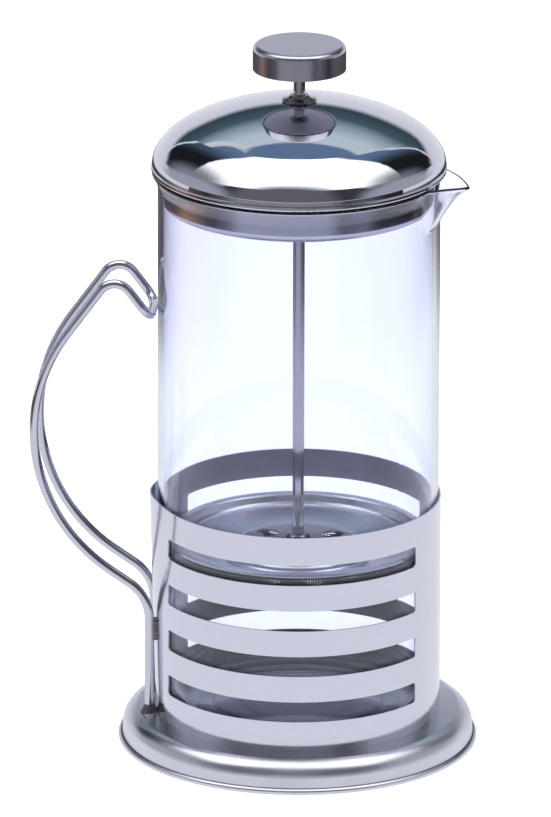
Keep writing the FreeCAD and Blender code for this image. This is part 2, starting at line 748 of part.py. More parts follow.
# ------------------------------------------------------------------ build
def build():
    os.makedirs("parts", exist_ok=True)

    base = save(make_base_plate(), "base_plate")
    outer = sleeve_block(0)
    sleeve = save(make_sleeve(outer), "holder_sleeve", merge_faces=False)
    handle = save(make_handle_wire().cut(base), "handle_wire")
    save(make_sleeve_tacks(base, sleeve), "sleeve_tack_welds")
    save(make_foot_welds(base, outer, handle), "handle_foot_welds")
    save(make_seat_welds(outer, handle), "handle_seat_welds")

    save(make_beaker(), "glass_beaker")

    dome = dome_path()
    dome_top = dome.z + lid_sheet / 2
    save(dome.sheet(lid_sheet), "lid_dome")
    save(make_liner(), "lid_liner")
    save(make_bush(dome_top), "lid_bush")
    washer_top = dome_top - lid_sheet - bush_washer_drop
    washer_bottom = washer_top - bush_washer_height
    thread = bush_tube_radius + thread_gap
    save(ring(thread, bush_washer_radius, washer_bottom, bush_washer_height), "lid_bush_washer")
    save(hex_nut(bush_nut_width, bush_nut_height, washer_bottom - bush_nut_height, thread), "lid_bush_nut")

    knob_bottom = dome_top + bush_height + knob_clearance
    core_bottom = knob_bottom + knob_core_recess
    bore = rod_radius + thread_gap
    save(make_knob_cap(knob_bottom), "knob_cap")
    save(make_knob_core(knob_bottom), "knob_core")
    save(hex_nut(knob_nut_width, knob_nut_height, core_bottom - knob_nut_height, bore), "knob_lock_nut")

    hub_top = plate_z - plate_sheet / 2
    rod_bottom = hub_top - hub_height + rod_chamfer
    rod_top = core_bottom + rod_in_knob - rod_chamfer
    save(make_rod(rod_bottom, rod_top), "plunger_rod")
    disc_top = filter_rim_z - dish_depth + dish_sheet + dish_step
    washer_z = disc_top + filter_washer_height
    save(ring(bore, filter_washer_radius, disc_top, filter_washer_height), "filter_washer")
    save(hex_nut(filter_nut_width, filter_nut_height, washer_z, bore), "filter_lock_nut")
    save(make_dish(bore), "filter_dish")
    save(Part.makeTorus(coil_ring, coil_radius, V(0, 0, coil_z)), "filter_coil")
    save(make_mesh(bore), "filter_mesh")
    save(make_plate(bore), "filter_plate")
    save(make_hub(hub_top), "filter_hub")


build()
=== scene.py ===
import math

import bpy
from mathutils import Matrix, Vector


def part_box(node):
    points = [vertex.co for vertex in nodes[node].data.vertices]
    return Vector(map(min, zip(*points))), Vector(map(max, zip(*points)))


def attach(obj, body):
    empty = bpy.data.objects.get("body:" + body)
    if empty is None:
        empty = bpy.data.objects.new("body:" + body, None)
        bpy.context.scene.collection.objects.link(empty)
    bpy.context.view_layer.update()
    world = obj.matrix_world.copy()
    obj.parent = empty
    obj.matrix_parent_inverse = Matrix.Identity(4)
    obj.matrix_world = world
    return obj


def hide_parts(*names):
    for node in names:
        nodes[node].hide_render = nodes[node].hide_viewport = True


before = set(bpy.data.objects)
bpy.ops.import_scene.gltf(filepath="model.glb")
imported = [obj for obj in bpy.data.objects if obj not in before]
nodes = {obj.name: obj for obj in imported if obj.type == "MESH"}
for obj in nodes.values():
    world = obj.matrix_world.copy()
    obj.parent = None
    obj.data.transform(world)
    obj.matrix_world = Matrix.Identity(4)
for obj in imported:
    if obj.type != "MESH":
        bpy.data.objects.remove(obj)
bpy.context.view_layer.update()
MM = 0.001


# ------------------------------------------------------------------ base plate
# The foot of the holder: one disc of 0.8 mm stainless steel, pressed with three rings in its floor,
# rolled over at the shoulder and curled outwards where it stands on the table.
# It is buffed to a soft shine on a turning wheel, so its faint lines run round the axis.
def linear(hex_colour):
    """Linear RGBA of an sRGB colour written as hex."""
    channels = [int(hex_colour[i:i + 2], 16) / 255 for i in (1, 3, 5)]
    return [c / 12.92 if c <= 0.04045 else ((c + 0.055) / 1.055) ** 2.4 for c in channels] + [1.0]


def add(tree, kind, inputs=None, **settings):
    """Adds a node with its settings; each input is given a value, or is linked to a socket."""
    node = tree.nodes.new(kind)
    for name, value in settings.items():
        setattr(node, name, value)
    for key, value in (inputs or {}).items():
        if isinstance(value, bpy.types.NodeSocket):
            tree.links.new(value, node.inputs[key])
        else:
            node.inputs[key].default_value = value
    return node


def new_material(name, colour, metallic, roughness):
    """A material with its Principled shader set, its tree, and its Object coordinates."""
    material = bpy.data.materials.new(name)
    material.use_nodes = True
    tree = material.node_tree
    shader = tree.nodes["Principled BSDF"]
    shader.inputs["Base Color"].default_value = linear(colour)
    shader.inputs["Metallic"].default_value = metallic
    shader.inputs["Roughness"].default_value = roughness
    place = add(tree, "ShaderNodeTexCoord").outputs["Object"]
    return material, tree, shader, place


def spread(tree, source, low, high):
    """A 0 to 1 value stretched to run from low to high."""
    return add(tree, "ShaderNodeMapRange", {"Value": source, "To Min": low, "To Max": high}).outputs[0]


def axis_distance(tree, place):
    """Distance from the axis, as a vector that a 1D texture can read."""
    flat = add(tree, "ShaderNodeVectorMath", {0: place, 1: (1, 1, 0)}, operation="MULTIPLY").outputs[0]
    return add(tree, "ShaderNodeVectorMath", {0: flat}, operation="LENGTH").outputs["Value"]


def paint(node_name, material):
    """Puts this material in every slot of a CAD node."""
    for slot in nodes[node_name].material_slots:
        slot.material = material


def buffed_steel(name, colour, haze, line_pitch, line_depth):
    """Stainless steel buffed on a wheel: haze softens its mirror, and turning lines break it a little."""
    material, tree, shader, place = new_material(name, colour, 1.0, haze)
    cloud = add(tree, "ShaderNodeTexNoise", {"Vector": place, "Scale": 1 / (18 * MM), "Detail": 4.0})
    rough = spread(tree, cloud.outputs["Fac"], 0.5 * haze, 1.7 * haze)
    tree.links.new(rough, shader.inputs["Roughness"])
    across = axis_distance(tree, place)
    lines = add(
        tree, "ShaderNodeTexNoise", {"W": across, "Scale": 1 / line_pitch, "Detail": 3.0},
        noise_dimensions="1D",
    )
    bump = add(
        tree, "ShaderNodeBump", {"Height": lines.outputs["Fac"], "Strength": 0.35, "Distance": line_depth}
    )
    tree.links.new(bump.outputs[0], shader.inputs["Normal"])
    return material


# Stainless steel, buffed to a soft shine: light and dark run into each other round the shoulder.
base_steel = buffed_steel("stainless_steel_soft_buffed", "#D6D7E0", 0.27, 0.9 * MM, 0.0012 * MM)
paint("base_plate", base_steel)


# ------------------------------------------------------------------ sleeve
# A strip of 0.5 mm stainless steel with two banks of four punched slots, rolled into a tube and tacked to the
# base. The strip keeps the mill's fine lengthwise grain, which runs round the tube, so it mirrors softly.
GRAIN_STRETCH = (25, 25, 3300)
INSIDE_DULL = 0.36                # roughness added on the faces near the axis
# The inner faces' colour is lighter than the outer faces': painted light, standing in for the light that
# reaches the inside of the tube.
INSIDE_PAINTED_LIGHT_COLOUR = "#F6F6FC"


def rolled_strip_steel(name, colour, roughness, dull_within):
    """Rolled strip, duller on the faces that lie within this distance of the axis, and painted lighter there
    as painted light.
    """
    material, tree, shader, place = new_material(name, colour, 1.0, roughness)
    # Grain about 0.3 mm apart up the tube and long round it, drawn coarser than the mill leaves it.
    stretched = add(
        tree, "ShaderNodeVectorMath", {0: place, 1: GRAIN_STRETCH}, operation="MULTIPLY"
    ).outputs[0]
    grain = add(tree, "ShaderNodeTexNoise", {"Vector": stretched, "Scale": 1.0, "Detail": 3.0})
    cloud = add(tree, "ShaderNodeTexNoise", {"Vector": place, "Scale": 1 / (30 * MM), "Detail": 2.0})
    uneven = add(
        tree, "ShaderNodeMath", {0: grain.outputs["Fac"], 1: cloud.outputs["Fac"]}, operation="MULTIPLY"
    )
    rough = spread(tree, uneven.outputs[0], 0.7 * roughness, 2.0 * roughness)
    within = add(
        tree, "ShaderNodeMath", {0: axis_distance(tree, place), 1: dull_within}, operation="LESS_THAN"
    ).outputs[0]
    dull = add(
        tree, "ShaderNodeMath", {0: within, 1: INSIDE_DULL, 2: rough}, operation="MULTIPLY_ADD"
    ).outputs[0]
    tree.links.new(dull, shader.inputs["Roughness"])
    # Painted light: the inner faces take the lighter colour, standing in for the light that reaches the inside
    # of the tube.
    tint = add(
        tree, "ShaderNodeMix", {0: within, 6: linear(colour), 7: linear(INSIDE_PAINTED_LIGHT_COLOUR)}, data_type="RGBA"
    )
    tree.links.new(tint.outputs[2], shader.inputs["Base Color"])
    bump = add(
        tree, "ShaderNodeBump", {"Height": grain.outputs["Fac"], "Strength": 0.5, "Distance": 0.0012 * MM}
    )
    tree.links.new(bump.outputs[0], shader.inputs["Normal"])
    return material


# Stainless strip with a 2B mill finish: pale and soft, with the shapes beside it still readable.
sleeve_middle = 48.65 * MM        # between the sleeve's inner face and its outer face
strip_steel = rolled_strip_steel("stainless_steel_rolled_strip", "#D6D7E2", 0.13, sleeve_middle)
paint("holder_sleeve", strip_steel)


# ------------------------------------------------------------------ handle
# A hairpin of 3.2 mm stainless wire, bent cold over formers and polished, with its two legs welded to the
# base and to the sleeve, and its crossbar against the glass.
def drawn_wire_steel(name, colour, roughness):
    material, tree, shader, place = new_material(name, colour, 1.0, roughness)
    fine = add(tree, "ShaderNodeTexNoise", {"Vector": place, "Scale": 1 / (2.5 * MM), "Detail": 5.0})
    rough = spread(tree, fine.outputs["Fac"], 0.4 * roughness, 1.8 * roughness)
    tree.links.new(rough, shader.inputs["Roughness"])
    bump = add(
        tree, "ShaderNodeBump", {"Height": fine.outputs["Fac"], "Strength": 0.3, "Distance": 0.004 * MM}
    )
    tree.links.new(bump.outputs[0], shader.inputs["Normal"])
    return material


# Drawn stainless wire, polished: narrow dark and bright lines run along it.
wire_steel = drawn_wire_steel("stainless_steel_wire_polished", "#CFCFD8", 0.06)
paint("handle_wire", wire_steel)


# ------------------------------------------------------------------ welds
# Small beads of weld metal at the handle's feet and seats and under the sleeve. They are laid by a TIG torch
# and only brushed off, so they are rippled, and darker than the polished steel.
def weld_bead_metal(name, colour, roughness):
    material, tree, shader, place = new_material(name, colour, 1.0, roughness)
    ripple = add(tree, "ShaderNodeTexVoronoi", {"Vector": place, "Scale": 1 / (0.7 * MM)})
    tint = add(
        tree, "ShaderNodeMix", {0: ripple.outputs["Distance"], 6: linear("#5C5650"), 7: linear(colour)},
        data_type="RGBA",
    )
    tree.links.new(tint.outputs[2], shader.inputs["Base Color"])
    bump = add(
        tree, "ShaderNodeBump", {"Height": ripple.outputs["Distance"], "Strength": 0.6, "Distance": 0.1 * MM}
    )
    tree.links.new(bump.outputs[0], shader.inputs["Normal"])
    return material


# Weld metal, wire brushed: dull grey with straw-brown in its ripples.
bead_metal = weld_bead_metal("weld_metal_brushed", "#8B8A90", 0.32)
for name in ("handle_foot_welds", "handle_seat_welds", "sleeve_tack_welds"):
    paint(name, bead_metal)


# ------------------------------------------------------------------ beaker
# A one-litre beaker of borosilicate glass, blown in a turning mould. Its rim is flared and fire-polished, and
# the spout is pulled out of the soft rim with a rod, so it grows smoothly from the wall.
glass_low, glass_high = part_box("glass_beaker")
glass_radius = 48.1 * MM
glass_wall = 1.8 * MM
glass_rim = glass_high.z
glass_floor = glass_low.z
glass_corner = 11.0 * MM          # middle of the wall, at the floor
flare_radius = 9.5 * MM
flare_angle = math.radians(38)
spout_turn = math.radians(-10.2)
spout_depth = 17.0 * MM
spout_stand = 9.9 * MM            # the tip beyond the flared rim
spout_half_angle = math.radians(16.5)
spout_dip = 1.7 * MM
spout_curve = 1.12                # power by which the spout comes out of the wall as it rises
spout_last_share = 1.5            # past this share of the half angle the wall is plain
rim_round = 0.7 * MM
TIP_ROUND = 0.07
ROOT_ROUND = 0.06
WALL_ROWS = 26
CORNER_ROWS = 10
RIM_ROWS = 8
FINE_SIDE = 30                    # degrees at each side of the spout that are divided finely
FINE_STEP = 0.6
FINE_COUNT = 101
COARSE_COUNT = 120


def spout_shape(angle):
    """Share of the spout there is at this angle from its middle: 1 at the tip, 0 where it joins the rim."""
    share = angle / spout_half_angle
    beak = (1 - math.hypot(share, TIP_ROUND)) / (1 - TIP_ROUND)
    return 0.5 * (beak + math.hypot(beak, ROOT_ROUND)) if share < spout_last_share else 0.0


def spout_rise(height):
    """How far the spout has come out at this height: 0 at its foot, 1 at the rim."""
    share = max(0.0, 1 - (glass_rim - height) / spout_depth)
    return share ** spout_curve


def wall_line(offset):
    """Points of one face of the wall, floor's middle to rim, as (radius, height, share of spout)."""
    middle = glass_radius - glass_wall / 2
    corner_x = middle - glass_corner
    corner_z = glass_floor + glass_wall / 2 + glass_corner
    reach = glass_corner + offset
    line = [(0.0, corner_z - reach, 0.0), (corner_x / 2, corner_z - reach, 0.0)]
    for i in range(CORNER_ROWS + 1):
        turn = math.pi / 2 * i / CORNER_ROWS
        line.append((corner_x + reach * math.sin(turn), corner_z - reach * math.cos(turn), 0.0))
    flare_low = glass_rim - flare_radius * math.sin(flare_angle) - rim_round
    spout_low = glass_rim - spout_depth
    for i in range(WALL_ROWS + 1):
        height = spout_low + (glass_rim - rim_round - spout_low) * i / WALL_ROWS
        out = 0.0
        if height > flare_low:
            turn = math.asin((height - flare_low) / flare_radius)
            out = flare_radius * (1 - math.cos(turn))
        line.append((middle + offset + out, height, spout_rise(height)))
    return line


def add_beaker_mesh(name):
    """Closed shell of the beaker: outer face, round rim and inner face, with the spout pulled out of both."""
    half = glass_wall / 2
    outer, inner = wall_line(half), wall_line(-half)
    r0, z0, s0 = outer[-1]
    r1, z1 = inner[-1][:2]
    rim = []
    for i in range(1, RIM_ROWS):
        turn = math.pi * i / RIM_ROWS
        blend = 0.5 - 0.5 * math.cos(turn)
        rim.append((r0 + (r1 - r0) * blend, z0 + (z1 - z0) * blend + rim_round * math.sin(turn), s0))
    line = outer + rim + inner[::-1]
    fine = [math.radians(i * FINE_STEP - FINE_SIDE) for i in range(FINE_COUNT)]
    rest = 360 - 2 * FINE_SIDE
    coarse = [math.radians(FINE_SIDE + rest * i / COARSE_COUNT) for i in range(1, COARSE_COUNT)]
    angles = fine + coarse
    vertices = []
    for radius, height, share in line[1:-1]:
        for angle in angles:
            bent = math.atan2(math.sin(angle), math.cos(angle))
            shape = spout_shape(abs(bent)) * share
            r = radius + spout_stand * shape
            z = height - spout_dip * shape * shape
            vertices.append((r * math.cos(angle + spout_turn), r * math.sin(angle + spout_turn), z))
    count = len(angles)
    rows = len(line) - 2
    faces = []
    for row in range(rows - 1):
        for i in range(count):
            j = (i + 1) % count
            faces.append((row * count + i, row * count + j, (row + 1) * count + j, (row + 1) * count + i))
    for pole, row, flip in ((line[0], 0, True), (line[-1], rows - 1, False)):
        vertices.append((0, 0, pole[1]))
        for i in range(count):
            fan = (len(vertices) - 1, row * count + i, row * count + (i + 1) % count)
            faces.append(fan[::-1] if flip else fan)
    mesh = bpy.data.meshes.new(name)
    mesh.from_pydata(vertices, [], faces)
    mesh.shade_smooth()
    return mesh


def new_piece(name, mesh, body, replaced, material):
    """Adds a finished mesh as a piece that rides on a body and stands for a CAD node."""
    piece = bpy.data.objects.new(name, mesh)
    bpy.context.scene.collection.objects.link(piece)
    mesh.materials.clear()
    mesh.materials.append(material)
    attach(piece, body)
    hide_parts(replaced)
    return piece


WAVE_STRETCH = (30, 30, 9)


def blown_glass(name, colour):
    """Clear glass with the long soft waves that blowing leaves."""
    material, tree, shader, place = new_material(name, colour, 0.0, 0.0)
    shader.inputs["Transmission Weight"].default_value = 1.0
    shader.inputs["IOR"].default_value = 1.47
    stretched = add(tree, "ShaderNodeVectorMath", {0: place, 1: WAVE_STRETCH}, operation="MULTIPLY").outputs[0]
    wave = add(tree, "ShaderNodeTexNoise", {"Vector": stretched, "Scale": 1.0, "Detail": 1.0})
    bump = add(
        tree, "ShaderNodeBump", {"Height": wave.outputs["Fac"], "Strength": 0.4, "Distance": 0.05 * MM}
    )
    tree.links.new(bump.outputs[0], shader.inputs["Normal"])
    return material


# Borosilicate glass, clear: near colourless through the wall, a little blue in its depth.
clear_glass = blown_glass("borosilicate_glass_clear", "#EFF2FE")
glass_mesh = add_beaker_mesh("beaker_glass")
new_piece("beaker_glass", glass_mesh, "beaker", "glass_beaker", clear_glass)


# ------------------------------------------------------------------ lid
# A dome of 0.5 mm stainless steel drawn in a press, hemmed under at its edge over the flange of a shallow
# pan that fits inside the glass. A turned and threaded bush through both guides the plunger's rod.
dome_steel = buffed_steel("stainless_steel_dome_mirror", "#D0D2DA", 0.03, 1.4 * MM, 0.0006 * MM)
paint("lid_dome", dome_steel)

# Deep-drawn pan, left as the press leaves it: bright, with a slightly streaked haze.
pan_steel = buffed_steel("stainless_steel_drawn_pan", "#DAD9E0", 0.14, 0.6 * MM, 0.002 * MM)
paint("lid_liner", pan_steel)

# Bush, washer and nut, turned from bar: darker, with tool lines round them.
bush_steel = buffed_steel("steel_turned_bar", "#8E8B8A", 0.14, 0.25 * MM, 0.01 * MM)
for name in ("lid_bush", "lid_bush_washer", "lid_bush_nut"):
    paint(name, bush_steel)


# ------------------------------------------------------------------ knob
# A cap pressed from 0.8 mm stainless steel over a threaded disc, with a lock nut under it on the rod. The cap
# is brushed: fine grain on its top, upright strokes on its side.
STROKE_STRETCH = (3000, 3000, 60)


def brushed_steel(name, colour, roughness):
    material, tree, shader, place = new_material(name, colour, 1.0, roughness)
    # Strokes 0.25 mm apart and long the other way, drawn coarser than the belt leaves them.
    stretched = add(
        tree, "ShaderNodeVectorMath", {0: place, 1: STROKE_STRETCH}, operation="MULTIPLY"
    ).outputs[0]
    strokes = add(tree, "ShaderNodeTexNoise", {"Vector": stretched, "Scale": 1.0, "Detail": 2.0})
    rough = spread(tree, strokes.outputs["Fac"], 0.6 * roughness, 1.5 * roughness)
    tree.links.new(rough, shader.inputs["Roughness"])
    bump = add(
        tree, "ShaderNodeBump", {"Height": strokes.outputs["Fac"], "Strength": 0.35, "Distance": 0.004 * MM}
    )
    tree.links.new(bump.outputs[0], shader.inputs["Normal"])
    return material


# Stainless steel, belt brushed: a soft grey that keeps only the light and dark of the room.
knob_steel = brushed_steel("stainless_steel_brushed", "#BDBCC6", 0.2)
paint("knob_cap", knob_steel)
paint("knob_lock_nut", bush_steel)

# The disc under the cap, cast and tumbled: matt and pale.
disc_metal = drawn_wire_steel("zinc_disc_tumbled", "#EEEDF6", 0.5)
paint("knob_core", disc_metal)


# ------------------------------------------------------------------ rod
# A 4 mm rod of stainless steel, centreless ground and threaded at both ends. It slides through the lid's
# bush, with the knob on its upper end and the filter on its lower end.
rod_steel = drawn_wire_steel("stainless_steel_rod_ground", "#C2BFC4", 0.1)
paint("plunger_rod", rod_steel)


# ------------------------------------------------------------------ filter
# A pressed dish with a raised disc and four holes, a woven screen, a long spring bent round the edge that
# seals against the glass, and a flat pierced plate, all clamped on the rod by a washer, a nut and a hub.
dish_steel = buffed_steel("stainless_steel_dish_pressed", "#F4F4FA", 0.26, 0.8 * MM, 0.001 * MM)
paint("filter_dish", dish_steel)
plate_steel = rolled_strip_steel("stainless_steel_plate_satin", "#BFC0C8", 0.2, 0.0)
paint("filter_plate", plate_steel)
for name in ("filter_washer", "filter_lock_nut", "filter_hub"):
    paint(name, bush_steel)


def new_tree(name, sizes):
    """A Geometry Nodes tree with these named number inputs and one geometry output."""
    tree = bpy.data.node_groups.new(name, "GeometryNodeTree")
    tree.interface.new_socket("Geometry", in_out="INPUT", socket_type="NodeSocketGeometry")
    for size in sizes:
        kind = "NodeSocketInt" if isinstance(sizes[size], int) else "NodeSocketFloat"
        tree.interface.new_socket(size, in_out="INPUT", socket_type=kind)
    tree.interface.new_socket("Geometry", in_out="OUTPUT", socket_type="NodeSocketGeometry")
    return tree, tree.nodes.new("NodeGroupInput").outputs


def math_node(tree, operation, a, b=0.0):
    return add(tree, "ShaderNodeMath", {0: a, 1: b}, operation=operation).outputs[0]


def grown_mesh(name, tree, result, sizes, material):
    """Ends the tree in plain geometry with this material, runs it, and returns the mesh."""
    real = add(tree, "GeometryNodeRealizeInstances", {"Geometry": result})
    smooth = add(tree, "GeometryNodeSetShadeSmooth", {"Geometry": real.outputs[0]})
    painted = add(tree, "GeometryNodeSetMaterial", {"Geometry": smooth.outputs[0], "Material": material})
    add(tree, "NodeGroupOutput", {0: painted.outputs[0]})
    carrier = bpy.data.objects.new(name + "_carrier", bpy.data.meshes.new(name + "_carrier"))
    bpy.context.scene.collection.objects.link(carrier)
    modifier = carrier.modifiers.new("grow", "NODES")
    modifier.node_group = tree
    for item in tree.interface.items_tree:
        if item.in_out == "INPUT" and item.name in sizes:
            modifier[item.identifier] = sizes[item.name]
    bpy.context.view_layer.update()
    grown = carrier.evaluated_get(bpy.context.evaluated_depsgraph_get())
    mesh = bpy.data.meshes.new_from_object(grown)
    mesh.name = name
    carrier.modifiers.remove(modifier)
    bpy.data.objects.remove(carrier)
    return mesh


# Spring steel wire, bright drawn: dark between its turns.
spring_steel = drawn_wire_steel("spring_steel_wire_bright", "#84858F", 0.2)

coil_low, coil_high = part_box("filter_coil")
coil_radius = (coil_high.z - coil_low.z) / 2
spring_wire = 0.28 * MM
spring_sizes = {
    "Ring Radius": coil_high.x - coil_radius,
    "Turn Radius": coil_radius - spring_wire,
    "Height": (coil_low.z + coil_high.z) / 2,
    "Wire Radius": spring_wire,
    "Turns": 330,
    "Points": 330 * 12,
}
spring_tree, size = new_tree("edge_spring", spring_sizes)
index = add(spring_tree, "GeometryNodeInputIndex").outputs[0]
share = math_node(spring_tree, "DIVIDE", index, size["Points"])
round_angle = math_node(spring_tree, "MULTIPLY", share, 2 * math.pi)
turn_angle = math_node(spring_tree, "MULTIPLY", round_angle, size["Turns"])
out = math_node(spring_tree, "MULTIPLY", math_node(spring_tree, "COSINE", turn_angle), size["Turn Radius"])
reach = math_node(spring_tree, "ADD", out, size["Ring Radius"])
lift = math_node(spring_tree, "MULTIPLY", math_node(spring_tree, "SINE", turn_angle), size["Turn Radius"])
spot = add(spring_tree, "ShaderNodeCombineXYZ", {
    0: math_node(spring_tree, "MULTIPLY", math_node(spring_tree, "COSINE", round_angle), reach),
    1: math_node(spring_tree, "MULTIPLY", math_node(spring_tree, "SINE", round_angle), reach),
    2: math_node(spring_tree, "ADD", lift, size["Height"]),
})
points = add(spring_tree, "GeometryNodeMeshLine", {"Count": size["Points"]})
placed = add(
    spring_tree, "GeometryNodeSetPosition", {"Geometry": points.outputs[0], "Position": spot.outputs[0]}
)
curve = add(spring_tree, "GeometryNodeMeshToCurve", {0: placed.outputs[0]})
closed = add(spring_tree, "GeometryNodeSetSplineCyclic", {"Geometry": curve.outputs[0], "Cyclic": True})
section = add(
    spring_tree, "GeometryNodeCurvePrimitiveCircle", {"Resolution": 5, "Radius": size["Wire Radius"]}
)
wire = add(spring_tree, "GeometryNodeCurveToMesh", {0: closed.outputs[0], 1: section.outputs[0]})
spring_mesh = grown_mesh("edge_spring", spring_tree, wire.outputs[0], spring_sizes, spring_steel)
new_piece("edge_spring", spring_mesh, "plunger", "filter_coil", spring_steel)

# Woven stainless wire cloth: each wire goes over one and under the next. It is drawn about three times as
# coarse as the real cloth, and turned up under the spring at its edge.
screen_steel = drawn_wire_steel("stainless_steel_wire_cloth", "#A9A9B0", 0.22)

mesh_low, mesh_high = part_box("filter_mesh")
mesh_radius = mesh_high.x
screen_sizes = {
    "Pitch": 1.05 * MM,
    "Wave": 0.1 * MM,
    "Wire Radius": 0.11 * MM,
    "Level": mesh_low.z + 0.2 * MM,
    "Edge": mesh_radius - 0.15 * MM,
    "Hole": 2.2 * MM,
    "Cup Start": mesh_radius - 5.9 * MM,
    "Cup Slope": math.tan(math.radians(38)),
    "Side": 88,
}
screen_tree, size = new_tree("wire_cloth", screen_sizes)
gaps = math_node(screen_tree, "SUBTRACT", size["Side"], 1.0)
span = math_node(screen_tree, "MULTIPLY", size["Pitch"], gaps)
grid = add(screen_tree, "GeometryNodeMeshGrid", {
    "Size X": span, "Size Y": span, "Vertices X": size["Side"], "Vertices Y": size["Side"],
})
index = add(screen_tree, "GeometryNodeInputIndex").outputs[0]
row = math_node(screen_tree, "FLOOR", math_node(screen_tree, "DIVIDE", index, size["Side"]))
column = math_node(screen_tree, "MODULO", index, size["Side"])
parity = math_node(screen_tree, "MODULO", math_node(screen_tree, "ADD", row, column), 2.0)
over = math_node(screen_tree, "SUBTRACT", math_node(screen_tree, "MULTIPLY", parity, 2.0), 1.0)
wave = math_node(screen_tree, "MULTIPLY", over, size["Wave"])
where = add(screen_tree, "GeometryNodeInputPosition").outputs[0]
from_axis = add(screen_tree, "ShaderNodeVectorMath", {0: where}, operation="LENGTH").outputs["Value"]
past_start = math_node(screen_tree, "SUBTRACT", from_axis, size["Cup Start"])
past_start = math_node(screen_tree, "MAXIMUM", past_start, 0.0)
cup = math_node(screen_tree, "MULTIPLY", past_start, size["Cup Slope"])
level = math_node(screen_tree, "ADD", cup, size["Level"])
ends = add(screen_tree, "GeometryNodeInputMeshEdgeVertices").outputs
step = add(
    screen_tree, "ShaderNodeVectorMath", {0: ends["Position 1"], 1: ends["Position 2"]}, operation="SUBTRACT"
).outputs[0]
parts = add(screen_tree, "ShaderNodeSeparateXYZ", {0: step}).outputs
section = add(
    screen_tree, "GeometryNodeCurvePrimitiveCircle", {"Resolution": 4, "Radius": size["Wire Radius"]}
)
beyond = math_node(screen_tree, "GREATER_THAN", from_axis, size["Edge"])
inside = math_node(screen_tree, "LESS_THAN", from_axis, size["Hole"])
outside = math_node(screen_tree, "ADD", beyond, inside)
trimmed = add(screen_tree, "GeometryNodeDeleteGeometry", {0: grid.outputs[0], 1: outside})
woven = add(screen_tree, "GeometryNodeJoinGeometry")
for axis, side in ((0, 1.0), (1, -1.0)):
    size_along = math_node(screen_tree, "ABSOLUTE", parts[axis])
    crosswise = math_node(screen_tree, "GREATER_THAN", size_along, 0.01 * MM)
    one_way = add(
        screen_tree, "GeometryNodeDeleteGeometry", {0: trimmed.outputs[0], 1: crosswise},
        domain="EDGE", mode="EDGE_FACE",
    )
    height = math_node(screen_tree, "ADD", level, math_node(screen_tree, "MULTIPLY", wave, side))
    lift = add(screen_tree, "ShaderNodeCombineXYZ", {2: height})
    moved = add(
        screen_tree, "GeometryNodeSetPosition", {"Geometry": one_way.outputs[0], "Offset": lift.outputs[0]}
    )
    wires = add(screen_tree, "GeometryNodeMeshToCurve", {0: moved.outputs[0]})
    round_wires = add(screen_tree, "GeometryNodeCurveToMesh", {
        0: wires.outputs[0], 1: section.outputs[0], "Fill Caps": True,
    })
    screen_tree.links.new(round_wires.outputs[0], woven.inputs[0])
screen_mesh = grown_mesh("wire_cloth", screen_tree, woven.outputs[0], screen_sizes, screen_steel)
new_piece("wire_cloth", screen_mesh, "plunger", "filter_mesh", screen_steel)


# ------------------------------------------------------------------ table and light
# A wide white table and a white sweep behind it, with a long soft light overhead. The room in front and at
# the sides is darker, and the polished steel mirrors it.
FLOOR_SIZE = 14.0
PAPER_NEAR = 0.38                 # where the white paper starts to end, as the steel sees it
PAPER_FAR = 0.55
WALL_START = 1.1                  # where the lit wall behind takes over from the room's floor
floor_mesh = bpy.data.meshes.new("table_top")
corner = FLOOR_SIZE / 2
floor_mesh.from_pydata(
    [(-corner, -corner, 0), (corner, -corner, 0), (corner, corner, 0), (-corner, corner, 0)],
    [],
    [(0, 1, 2, 3)],
)
floor = bpy.data.objects.new("table_top", floor_mesh)
bpy.context.scene.collection.objects.link(floor)


def colour_ramp(tree, value, start, end, stops):
    """A ramp whose stops are given in the value's own units, from start to end."""
    share = add(tree, "ShaderNodeMapRange", {"Value": value, "From Min": start, "From Max": end}).outputs[0]
    node = add(tree, "ShaderNodeValToRGB", {0: share})
    ramp = node.color_ramp
    for number, (place, colour) in enumerate(stops):
        stop = ramp.elements[number] if number < 2 else ramp.elements.new(1.0)
        stop.position = (place - start) / (end - start)
        stop.color = linear(colour)
    return node.outputs[0]


def smooth_step(tree, value, low, high):
    return add(
        tree, "ShaderNodeMapRange", {"Value": value, "From Min": low, "From Max": high},
        interpolation_type="SMOOTHSTEP",
    ).outputs[0]


def mixed(tree, share, first, second):
    """Colour between two, each a socket or a hex value."""
    ends = [linear(c) if isinstance(c, str) else c for c in (first, second)]
    return add(tree, "ShaderNodeMix", {0: share, 6: ends[0], 7: ends[1]}, data_type="RGBA").outputs[2]


def room_tones(tree, across, ahead):
    """The room's colour by direction: warm wood on the left, a pale door in front, dark on the right."""
    turn = math_node(tree, "ARCTAN2", across, math_node(tree, "MULTIPLY", ahead, -1.0))
    degrees = math_node(tree, "MULTIPLY", turn, 180 / math.pi)
    return colour_ramp(tree, degrees, -180, 180, (
        (-180, "#8A8B98"), (-150, "#5A5860"), (-118, "#6A5A58"), (-102, "#CC9A7A"), (-88, "#9A7C6C"),
        (-72, "#45434C"), (-55, "#8C8C96"), (-44, "#D2D3DE"), (26, "#CCCDDA"), (40, "#74747F"),
        (58, "#90909C"), (72, "#3A3A3E"), (104, "#2F2E31"), (122, "#5C5450"), (150, "#4C4A52"),
        (180, "#8A8B98"),
    ))


